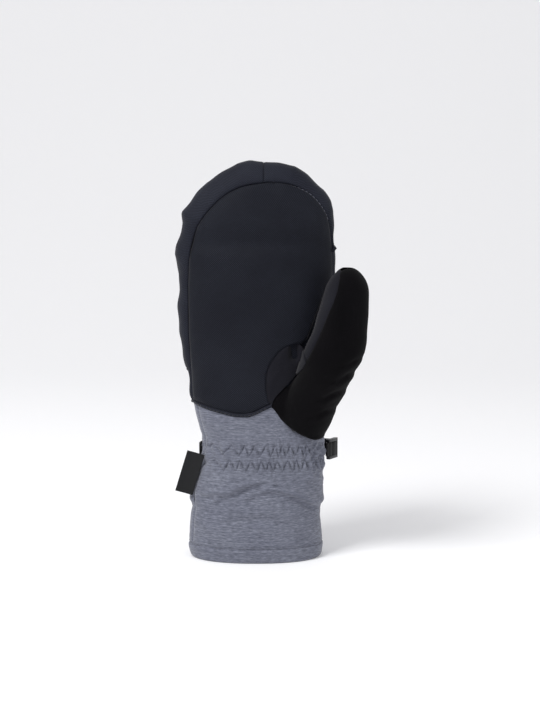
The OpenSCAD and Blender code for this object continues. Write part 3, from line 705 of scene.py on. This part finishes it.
def back_edge(side):
    edge = []
    for z in np.linspace(98, 220, 40):
        l, r = float(curve(LEFT_EDGE, z)), float(curve(RIGHT_EDGE, z))
        edge.append((z, (l + r) / 2 + 0.9 * side * (r - l) / 2))
    tops = [(z, x) for x, z in BACK_LINE if (x < BACK_TOP[0] if side < 0 else x > BACK_TOP[0])]
    tops.sort()
    for z, x in tops:
        if z > edge[-1][0] + 0.4:
            edge.append((z, x))
    return edge + [(BACK_TOP[1] + 0.01, BACK_TOP[0])]


def back_shape(U, V):
    x, z = laid_rows(None, back_edge(-1), back_edge(1), 103, BACK_TOP[1])(U, V)
    return x, curl(z) + depth_at(x, z), z


def back_relief(x, y, z, U, V):
    lift = hollow(x, z, 0, 186, 60, 5, 1.6) + hollow(x, z, 0, 232, 44, 8, 0.8) - hollow(x, z, 0, 150, 30, 24, 0.8)
    return lift + 0.3 * np.sin(x / 8 + np.sin(z / 19)) * np.sin(z / 15)


back = draped("back_panel_heather", 130, 170, back_shape, GREY_HEATHER, back_relief, edge=(1.5, 1.9), crown=(1.0, 10), flip=True,
              level=True, fill=0.6, replaces=["back_panel"], slot="heather")
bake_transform(back)

# ---------------------------------------------------------------- cuff

ELASTIC_Z = (81.5, 70.5)
CUFF_FOLDS = [
    ([(-24, 46.5), (-18.5, 48.6), (-8.6, 53.6), (2, 56), (8, 56.6)], 2.2, 2.2, 1.0),
    ([(0, 48.6), (8, 50.4), (17, 49.6), (25, 47), (33, 42.6), (39, 38.8), (46, 37.4)], 2.4, 1.9, 1.0),
    ([(18, 48), (28, 46.6), (36, 42), (41, 39)], 1.6, 0.7, 0.8),
    ([(39, 57), (46.5, 54)], 1.8, 1.6, 0.8),
    ([(-16, 31), (-6, 31.6), (3, 32.2), (12, 31)], 3.2, 1.6, 0.5),
    ([(-43, 46.4), (-34, 46.6), (-27, 47.6)], 2.0, 1.4, 0.8),
    ([(-12.5, 67), (-20, 60), (-26, 54), (-36, 49), (-42, 47.4)], 3.0, -1.6, -0.5),
    ([(-46, 24), (-40, 22.6)], 1.8, 0.7, 0.5),
    ([(40, 25), (47, 22.4)], 1.8, 0.7, 0.5),
    ([(-30, 64), (-38, 60)], 1.7, 0.7, 0.6),
    ([(-5, 66), (6, 63.4), (14, 63.6)], 2.2, 0.6, 0.5),
]


def triangle_wave(t):
    return 2 * np.abs(2 * (t - np.floor(t + 0.5))) - 1


def wander(s, k):
    return s + 1.6 * np.sin(s / 11.0 + k) + 0.7 * np.sin(s / 3.7 + 2 * k)


def elastic_line(s, k):
    return ELASTIC_Z[k] + 3.9 * triangle_wave(wander(s, k) / 7.4 + 0.37 * k)


def gathers(s, z):
    """Two rows of elastic sewn in a zigzag: the cloth puckers into small diamonds between the rows of stitches."""
    lift = np.zeros(np.shape(s))
    for k, middle in enumerate(ELASTIC_Z):
        near = z - elastic_line(s, k)
        lift = lift - 1.3 * np.exp(-(near / 1.2) ** 2) * np.exp(-((z - middle) / 5.8) ** 4)
        pucker = np.sin(2 * math.pi * (wander(s, k) / 3.7 + (z - middle) / 30))
        lift = lift + 0.55 * pucker * np.exp(-((z - middle) / 5.2) ** 2)
    spread = np.exp(-((z - 76) / 15) ** 2)
    lift = lift + 0.4 * spread * np.sin(2 * math.pi * (s / 9.1 + z / 60 + 0.1 * np.sin(s / 5)))
    return lift


def cuff_relief(x, y, z, U, V):
    s = np.where(y < 0, x, 60 + x) + 0.6 * y
    lift = gathers(s, z)
    if np.mean(y) < 0:
        for line, wide, deep, lip in CUFF_FOLDS:
            lift = lift + fold(x, z, line, wide, deep, lip)
        # slanted pulls gathered towards the thumb-side end of the elastic
        slant = np.sin(2 * math.pi * ((x - 0.55 * (z - 76)) / 5.2))
        lift = lift + 1.1 * slant * np.exp(-((z - 76) / 10) ** 2) * np.clip((x - 30) / 10, 0, 1)
    else:
        for line, wide, deep, lip in CUFF_FOLDS[:4]:
            lift = lift + fold(-x, z, line, wide * 1.2, deep, lip)
    edge = np.clip((z - 12) / 5, 0, 1) * np.clip((1 - V) * 8, 0, 1)
    lift = lift * np.clip((1 - V) * 10, 0, 1) - 0.7 * np.exp(-((1 - V) * 98 / 3.0) ** 2)
    lift = lift + 0.5 * edge * np.sin(x / 12 + z / 9) * np.sin(z / 14 + 1.1) * np.clip((96 - z) / 20, 0, 1)
    return lift


SIDE_SEAM = math.degrees(math.acos((11 / 29) ** (SQUARE / 2)))


def round_cuff(turn, z):
    """A point on the cuff at a turn measured from straight in front towards the thumb side, in degrees."""
    a = np.radians(turn)
    left, right = curve(LEFT_EDGE, z), curve(RIGHT_EDGE, z)
    s, c = np.sin(a), np.cos(a)
    x = (left + right) / 2 + (right - left) / 2 * np.sign(s) * np.abs(s) ** (2 / SQUARE)
    y = -curve(HALF_DEPTH, z) * np.sign(c) * np.abs(c) ** (2 / SQUARE)
    return x, y


CUFF_TOP = [(-52, 117), (-47.5, 116.4), (-36.7, 113.6), (-22.3, 110.6), (-9.4, 109), (-2.2, 110), (5, 113.4), (9.4, 115.6),
            (12, 113.6), (18, 106), (26.6, 98.6), (35.3, 93.6), (43.9, 91.4), (49, 92), (56, 96)]


def cuff_front_shape(U, V):
    turn = -SIDE_SEAM + (90 + SIDE_SEAM) * U
    top = np.full(U.shape, 105.0)
    for _ in range(4):
        x, y = round_cuff(turn, top)
        top = curve(CUFF_TOP, x)
    z = 10.2 + (top - 10.2) * V
    x, y = round_cuff(turn, z)
    return x, y, z


def cuff_back_shape(U, V):
    turn = 90 + (270 - SIDE_SEAM) * U
    top = 106 + 9.8 * np.clip((U - 0.72) / 0.05, 0, 1)
    z = 10.2 + (top - 10.2) * V
    x, y = round_cuff(turn, z)
    return x, y, z


cuff_front = draped("cuff_front_heather", 260, 200, cuff_front_shape, GREY_HEATHER, cuff_relief, edge=(0.9, 1.5), edges="lrb", level=True, fill=0.1,
                    replaces=["cuff_front"], slot="heather")
cuff_back = draped("cuff_back_heather", 260, 170, cuff_back_shape, GREY_HEATHER, cuff_relief, edge=(0.9, 1.5), edges="lrb", level=True, fill=0.1,
                   replaces=["cuff_back"], slot="heather")


def hem_shape(U, V):
    turn = 360 * U
    # down the outside, round the folded edge, and up the inside
    inward = np.interp(V, [0, 0.44, 0.48, 0.52, 0.56, 1], [0.0, 0.0, 0.7, 2.0, 2.7, 2.7])
    z = np.interp(V, [0, 0.44, 0.48, 0.52, 0.56, 1], [11.4, 1.4, 0.25, 0.25, 1.4, 11.0])
    x, y = round_cuff(turn, z)
    n = np.hypot(x, y)
    return x * (1 - inward / n), y * (1 - inward / n), z


def hem_relief(x, y, z, U, V):
    outer = V < 0.5
    s = np.degrees(np.arctan2(y, x))
    lift = -0.9 * np.exp(-((z - 10.4) / 0.8) ** 2) + 0.25 * np.sin(s / 4.1) * np.clip((z - 1) / 6, 0, 1)
    lift = lift + 0.35 * np.exp(-((z - 7.5) / 2.5) ** 2)
    return np.where(outer, lift, 0)


hem = draped("cuff_hem_turned", 360, 60, hem_shape, GREY_HEATHER, hem_relief, edges="", thick=0.5, closed=True, body="cuff",
             fill=0.1, replaces=["cuff_hem"], slot="heather", flip=True)
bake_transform(cuff_front)
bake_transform(cuff_back)

# ---------------------------------------------------------------- thumb

def radial(fraction_of_turn, z, field, centre_x, centre_y, far=60.0):
    """Where a ray from the centre leaves the form, at each height."""
    steps = np.linspace(2, far, 60)
    dx, dy = np.cos(fraction_of_turn), np.sin(fraction_of_turn)
    inside = np.ones(np.shape(z), bool)
    hit = np.full(np.shape(z), far)
    before = np.zeros(np.shape(z))
    for r in steps:
        f = field(centre_x + r * dx, centre_y + r * dy, z)
        out_now = inside & (f >= 1)
        share = (1 - before) / np.maximum(f - before, 1e-6)
        hit = np.where(out_now, r - (steps[1] - steps[0]) * (1 - np.clip(share, 0, 1)), hit)
        inside &= ~out_now
        before = np.where(inside, f, before)
    return hit


def thumb_centre(z):
    # low down the rays start nearer the palm's own skin so that the panel spreads over it
    return curve(THUMB_X, z), curve(THUMB_FRONT, z)


FRONT = -math.pi / 2


def turn_to_left_edge(z):
    """The turn at which the panel's front passes its left edge."""
    turns = np.linspace(FRONT - 0.1, FRONT - 2.2, 60)
    best = np.full(np.shape(z), FRONT - 1.0)
    found = np.zeros(np.shape(z), bool)
    goal = curve(BLACK_LEFT, z)
    cx, cy = thumb_centre(z)
    last = None
    for t in turns:
        r = radial(np.full(np.shape(z), t), z, both_field, cx, cy)
        x = cx + r * np.cos(t)
        if last is not None:
            cross = (~found) & (x <= goal)
            share = (last[1] - goal) / np.maximum(last[1] - x, 1e-6)
            best = np.where(cross, last[0] + (t - last[0]) * np.clip(share, 0, 1), best)
            found |= cross
        last = (t, x)
    return np.where(found, best, turns[-1])


LADDER = np.linspace(0, 1, 60)
LADDER_Z = 114.8 + (213.4 - 114.8) * LADDER
LEFT_TURN = turn_to_left_edge(LADDER_Z)
LEFT_TURN = np.convolve(np.pad(LEFT_TURN, 2, mode="edge"), np.ones(5) / 5, mode="valid")
REAR_TURN = np.interp(LADDER_Z, [114, 135, 150, 158, 168, 213.4], [0.95, 1.2, 1.45, 2.0, 2.48, 2.5])


def thumb_black_shape(U, V):
    g = V * 1.9 - 0.9 * V * V
    left = np.interp(g, LADDER, LEFT_TURN)
    rear = np.interp(g, LADDER, REAR_TURN)
    turn = left + (rear - left) * U
    foot = np.full(U.shape, 100.0)
    t0 = LEFT_TURN[0] + (REAR_TURN[0] - LEFT_TURN[0]) * U
    for _ in range(14):
        cx, cy = thumb_centre(foot)
        r = radial(t0, foot, both_field, cx, cy)
        x, y = cx + r * np.cos(t0), cy + r * np.sin(t0)
        foot = 0.6 * foot + 0.4 * np.where(y < 0, curve(BLACK_FOOT, x), 94 + np.clip(y, 0, 20) * 0.6)
    z = foot + (213.4 - foot) * g
    cx, cy = thumb_centre(z)
    r = radial(turn, z, both_field, cx, cy)
    r = np.where(z > 160, radial(turn, z, thumb_field, cx, cy), r)
    return cx + r * np.cos(turn), cy + r * np.sin(turn), z


THUMB_FOLDS = [
    ([(62, 128), (55, 126), (47, 122)], 1.8, 1.0, 0.7),
    ([(71, 141), (64, 139.5), (57, 136)], 1.8, 1.1, 0.7),
    ([(75, 152), (69, 150), (63, 147)], 1.6, 0.7, 0.6),
    ([(57, 113), (49, 112), (42, 109)], 1.8, 0.8, 0.6),
]


def thumb_relief(x, y, z, U, V):
    lift = np.zeros(np.shape(x))
    for line, wide, deep, lip in THUMB_FOLDS:
        lift = lift + fold(x, z, line, wide, deep, lip)
    lift = lift + 0.35 * np.sin(z / 6.5 + x / 9) * np.clip((z - 110) / 20, 0, 1)
    return lift


black = draped("thumb_panel_suede", 150, 170, thumb_black_shape, BLACK_SUEDE, thumb_relief, edge=(0.7, 1.5), crown=(0.7, 7),
               thick=0.9, edges="lb", fill=0.6, replaces=["thumb_panel"], slot="suede_black")
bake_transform(black)

STRIP_REAR = np.interp(LADDER_Z, [114, 146, 150, 160, 170, 213.4], [-3.6, -3.75, -3.8, -3.79, -3.81, -3.81])


def strip_shape(U, V):
    z = 146.0 + (212.6 - 146.0) * (1.75 * V - 0.75 * V * V)
    left = np.interp(z, LADDER_Z, LEFT_TURN) + 0.02
    rear = np.interp(z, LADDER_Z, STRIP_REAR)
    turn = left + (rear - left) * (1 - U)
    cx, cy = thumb_centre(z)
    r = radial(turn, z, thumb_field, cx, cy)
    return cx + r * np.cos(turn), cy + r * np.sin(turn), z


strip = draped("thumb_strip_suede", 40, 120, strip_shape, GREY_SUEDE, None, edge=(0.8, 1.3), crown=(0.3, 4),
               edges="lr", fill=0.5, replaces=["thumb_strip"], slot="suede_grey")
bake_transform(strip)


def crescent_shape(U, V):
    z = 114.8 + (159.2 - 114.8) * (1.6 * V - 0.6 * V * V)
    left = curve([(b, a) for a, b in CRESCENT[:-1]] + [(159.2, 27.2)], z)
    right = np.minimum(curve(BLACK_LEFT, z) + 1.0, curve([(114, 60), (148, 35), (155, 33.5), (159.2, 30)], z))
    x = left + (right - left) * U
    return x, front_surface(x, z), z


def crescent_relief(x, y, z, U, V):
    pit, _ = to_line(x, z, [(27.0, 156), (27.4, 150.5)])
    return 0.5 - 4.8 * np.exp(-(pit / 3.1) ** 2)


crescent = draped("palm_crescent_suede", 60, 80, crescent_shape, GREY_SUEDE, crescent_relief, edge=(0.9, 1.3), crown=(0.3, 5), edges="lbt",
                  body="hand", fill=0.5, replaces=["thumb_gusset"], slot="suede_grey")

# ---- the bound lower edge of the palm

def binding_shape(U, V):
    x = -47.5 + (10.6 + 47.5) * U
    z = curve(PALM_FOOT, x) - 0.5 + 2.6 * V
    bulge = 0.9 * np.sin(math.pi * V) ** 0.6
    return x, curl(z) - depth_at(x, z) - bulge - 0.1, z


draped("palm_binding_tape", 120, 8, binding_shape, WALL, None, edges="", thick=0.7, body="hand", fill=0.2, replaces=["palm_binding"],
       slot="binding")

# ---------------------------------------------------------------- layers inside

def ring_tube(name, turns, rows, place, cap=True):
    """A closed form through rings: place gives the point at each turn and row."""
    bm = bmesh.new()
    bmesh.ops.create_grid(bm, x_segments=turns, y_segments=rows, size=0.5)
    flat = np.array([v.co for v in bm.verts], float) + 0.5
    P = np.stack(place(flat[:, 0], flat[:, 1]), -1) * MM
    for v, at in zip(bm.verts, P):
        v.co = at
    bmesh.ops.remove_doubles(bm, verts=bm.verts, dist=0.00001)
    if cap:
        bmesh.ops.holes_fill(bm, edges=[e for e in bm.edges if e.is_boundary], sides=0)
    bmesh.ops.recalc_face_normals(bm, faces=bm.faces)
    mesh = bpy.data.meshes.new(name)
    bm.to_mesh(mesh)
    bm.free()
    made = bpy.data.objects.new(name, mesh)
    bpy.context.scene.collection.objects.link(made)
    return made


def cut(made, other, how):
    step = made.modifiers.new(how, "BOOLEAN")
    step.operation, step.object, step.solver = how, other, "MANIFOLD"
    bpy.context.view_layer.update()
    fresh = bpy.data.meshes.new_from_object(made.evaluated_get(bpy.context.evaluated_depsgraph_get()))
    made.modifiers.clear()
    made.data = fresh
    bpy.data.objects.remove(other)


def hand_solid(inset, low, high):
    """The hand's form drawn in by an inset, between two heights or up over the fingertips."""
    closed = high > TIP_Z
    top = 288.3 - inset - 0.2 if closed else high

    def place(u, v):
        z = low + (top - low) * (1 - (1 - v) ** 2.2 if closed else v)
        turn = 2 * math.pi * u
        cx = np.where(z > TIP_Z, TIP_X, (curve(LEFT_EDGE, z) + curve(RIGHT_EDGE, z)) / 2)
        r = radial(turn, z, lambda x, y, h: hand_field(x, y, h, inset), cx, curl(z), 66.0)
        return cx + r * np.cos(turn), curl(z) + r * np.sin(turn), z
    return ring_tube("hand_form", 72, 60 if closed else 26, place)


def thumb_solid(inset, low, high=300.0):
    closed = high > THUMB_TOP
    top = THUMB_TOP - inset - 0.1 if closed else high

    def place(u, v):
        z = low + (top - low) * (1 - (1 - v) ** 1.8 if closed else v)
        a = (curve(THUMB_HALF, z) - inset) * thumb_share(z, inset)
        b = (curve(THUMB_DEEP, z) - inset) * thumb_share(z, inset)
        s, c = np.sin(2 * math.pi * u), np.cos(2 * math.pi * u)
        return (curve(THUMB_X, z) + a * np.sign(c) * np.abs(c) ** (2 / SQUARE),
                curve(THUMB_FRONT, z) + b * np.sign(s) * np.abs(s) ** (2 / SQUARE), z)
    return ring_tube("thumb_form", 48, 32 if closed else 20, place)


def finished(made, name, material, body, node):
    made.name = made.data.name = name
    made.data.materials.clear()
    made.data.materials.append(material)
    for face in made.data.polygons:
        face.use_smooth = True
    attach(made, body)
    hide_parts(node)
    return made


SUNK = 1.5
LAYERS = [("membrane", FILM, "membrane", 1.8, 0.5, 1.8, 0.5), ("insulation", FIBRE, "fibre_pad", 2.6, 3.9, 2.6, 2.4),
          ("lining", LINING, "fleece", 6.8, 1.4, 5.3, 1.4)]
for layer, material, slot, inset, thick, thumb_inset, thumb_thick in LAYERS:
    inset, thumb_inset = inset + SUNK, thumb_inset + SUNK
    around = hand_solid(inset, 95.0, 175.0)
    cut(around, thumb_solid(thumb_inset, 95.5, 143.0), "UNION")
    cut(around, hand_solid(inset + thick, 90.0, 180.0), "DIFFERENCE")
    cut(around, thumb_solid(thumb_inset + thumb_thick, 96.5, 150.0), "DIFFERENCE")
    finished(around, layer + "_round_hand", material, "hand", layer + "_hand")
    fingers = hand_solid(inset, 195.0, 300.0)
    cut(fingers, hand_solid(inset + thick, 190.0, 300.0), "DIFFERENCE")
    finished(fingers, layer + "_round_fingers", material, "fingers", layer + "_fingers")
    thumb = thumb_solid(thumb_inset, 158.0)
    cut(thumb, thumb_solid(thumb_inset + thumb_thick, 155.0), "DIFFERENCE")
    cut(thumb, hand_solid(0.0, 150.0, 205.0), "DIFFERENCE")
    finished(thumb, layer + "_round_thumb", material, "thumb", layer + "_thumb")


def sleeve_shape(low, high, inset):
    def shape(U, V):
        turn, z = 360 * U, low + (high - low) * V
        x, y = round_cuff(turn, z)
        middle = (curve(LEFT_EDGE, z) + curve(RIGHT_EDGE, z)) / 2
        n = np.hypot(x - middle, y)
        return middle + (x - middle) * (1 - inset / n), y * (1 - inset / n), z
    return shape


def sleeve(name, node, material, slot, low, high, inset, thick, relief, body=None):
    made = draped(name, 200, 50, sleeve_shape(low, high, inset), material, relief, edges="", thick=thick, closed=True, flip=True,
                  replaces=[node], slot=slot, body=body)
    return made


def soft_ripple(x, y, z, U, V):
    return 0.35 * np.sin(U * 2 * math.pi * 34 + 2 * np.sin(z / 9)) * np.exp(-((z - 76) / 13) ** 2) + 0.2 * np.sin(U * 44 + z / 7)


sleeve("cuff_lining_tricot", "lining_cuff", LINING, "fleece", 12.0, 57.5, 4.6, 1.2, soft_ripple, body="cuff")
inside_wrist = sleeve("wrist_lining_tricot", "lining_wrist", LINING, "fleece", 57.8, 94.5, 5.4, 1.2, soft_ripple)
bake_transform(inside_wrist)
band = sleeve("wrist_elastic_braid", "wrist_elastic", ELASTIC, "elastic", 70.0, 90.0, 3.9, 0.9, soft_ripple)
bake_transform(band)

# ---------------------------------------------------------------- label, strap and lock

def label_shape(U, V):
    lean = math.radians(17)
    across, up = -13.0 * (1 - U), -15.5 + 31.0 * V
    bow = 1.3 * (1 - U) ** 2 + 0.5 * np.sin(math.pi * V)
    cx, cz, cy = -42.6, 61.5, -13.0
    return (cx + across * math.cos(lean) + up * math.sin(lean), cy - bow,
            cz - across * math.sin(lean) + up * math.cos(lean))


label = draped("flag_label_satin", 26, 60, label_shape, SATIN, None, edges="", thick=0.7, body="label", replaces=["flag_label"],
               slot="satin")


def softened(node, name, material, body, slot, radius, steps=2):
    """A CAD solid with its loose triangles joined and its edges rounded over."""
    bm = bmesh.new()
    bm.from_mesh(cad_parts[node].data)
    bmesh.ops.remove_doubles(bm, verts=bm.verts, dist=0.000002)
    bmesh.ops.dissolve_limit(bm, angle_limit=math.radians(1.0), verts=bm.verts, edges=bm.edges)
    sharp = [e for e in bm.edges if len(e.link_faces) == 2 and e.calc_face_angle(0) > math.radians(35)]
    bmesh.ops.bevel(bm, geom=sharp, offset=radius * MM, offset_type="OFFSET", affect="EDGES", segments=steps, profile=0.5,
                    material=-1, clamp_overlap=True)
    mesh = bpy.data.meshes.new(name)
    bm.to_mesh(mesh)
    bm.free()
    return piece(name, mesh, material, body=body, replaces=[node], slot=slot)


def drawn_in(made):
    """Webbing pulled close to the wrist, away from the loop that holds it off."""
    at = np.array([v.co for v in made.data.vertices]) / MM
    middle = 4.3
    around = np.arctan2(at[:, 1], at[:, 0] - middle)
    reach = np.hypot(at[:, 0] - middle, at[:, 1])
    turns = np.radians(np.linspace(0, 360, 721))
    x, y = round_cuff(np.degrees(turns), np.full(turns.shape, 78.0))
    order = np.argsort(np.arctan2(y, x - middle))
    skin = np.interp(around, np.arctan2(y, x - middle)[order], np.hypot(x - middle, y)[order], period=2 * math.pi)
    inner = np.array([reach[np.abs(np.angle(np.exp(1j * (around - a)))) < 0.12].min() for a in around])
    share = np.clip((30 - at[:, 0]) / 30, 0, 1)
    pull = share * np.clip(inner - skin - 0.5, 0, 4)
    for v, p, r in zip(made.data.vertices, pull, reach):
        k = 1 - p / r
        v.co.x, v.co.y = (middle + (v.co.x / MM - middle) * k) * MM, v.co.y * k


strap = softened("wrist_strap", "wrist_strap_webbing", WEBBING, None, "webbing", 0.22)
drawn_in(strap)
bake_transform(strap)
softened("strap_loop", "strap_loop_webbing", WEBBING, "hand", "webbing", 0.22)
softened("strap_tail", "strap_tail_webbing", WEBBING, "tail", "webbing", 0.22)
softened("strap_tip", "strap_tip_webbing", WEBBING, "tail", "webbing", 0.3)
softened("ladder_lock", "ladder_lock_acetal", HARD_BLACK, "lock", "acetal", 0.3, 3)

# ---------------------------------------------------------------- stitching

v = np.linspace(0.5, 0.985, 400)
at, facing = laid("palm_panel_twill", np.full(v.shape, 0.955), v)
high = at[:, 2] > 247
row = stitches("palm_topstitch", at[high], facing[high], THREAD_GREY)
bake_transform(row)
v = np.linspace(0.1, 0.52, 120)
for k, across in enumerate((0.5, 0.62)):
    at, facing = laid("thumb_strip_suede", np.full(v.shape, across), v)
    row = stitches("thumb_strip_stitch_%d" % k, at, facing, THREAD_DARK, long=1.9, gap=0.7, thick=0.26)
    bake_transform(row)
u = np.linspace(0.02, 0.985, 200)
at, facing = laid("palm_binding_tape", u, np.full(u.shape, 0.42))
stitches("binding_stitch", at, facing, THREAD_DARK, long=1.9, gap=1.1, body="hand")
for panel, side in (("cuff_front_heather", "front"), ("cuff_back_heather", "back")):
    P = LAID[panel]
    for k, middle in enumerate(ELASTIC_Z):
        u = np.linspace(0.01, 0.99, 900)
        bottom, top = laid(panel, u, 0 * u)[0][:, 2], laid(panel, u, 0 * u + 1)[0][:, 2]
        x, y = laid(panel, u, (middle - bottom) / (top - bottom))[0][:, :2].T
        s = np.where(y < 0, x, 60 + x) + 0.6 * y if side == "front" else 60 + x + 0.6 * y
        z = elastic_line(s, k)
        at, facing = laid(panel, u, (z - bottom) / (top - bottom))
        row = stitches("shirring_stitch_%s_%d" % (side, k), at, facing, THREAD_GREY, long=1.7, gap=0.5, thick=0.24)
        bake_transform(row)
u = np.linspace(0, 1, 700)
at, facing = laid("cuff_hem_turned", u, np.full(u.shape, 0.065))
stitches("hem_stitch", at, facing, THREAD_GREY, long=2.2, gap=0.8, thick=0.26, body="cuff")
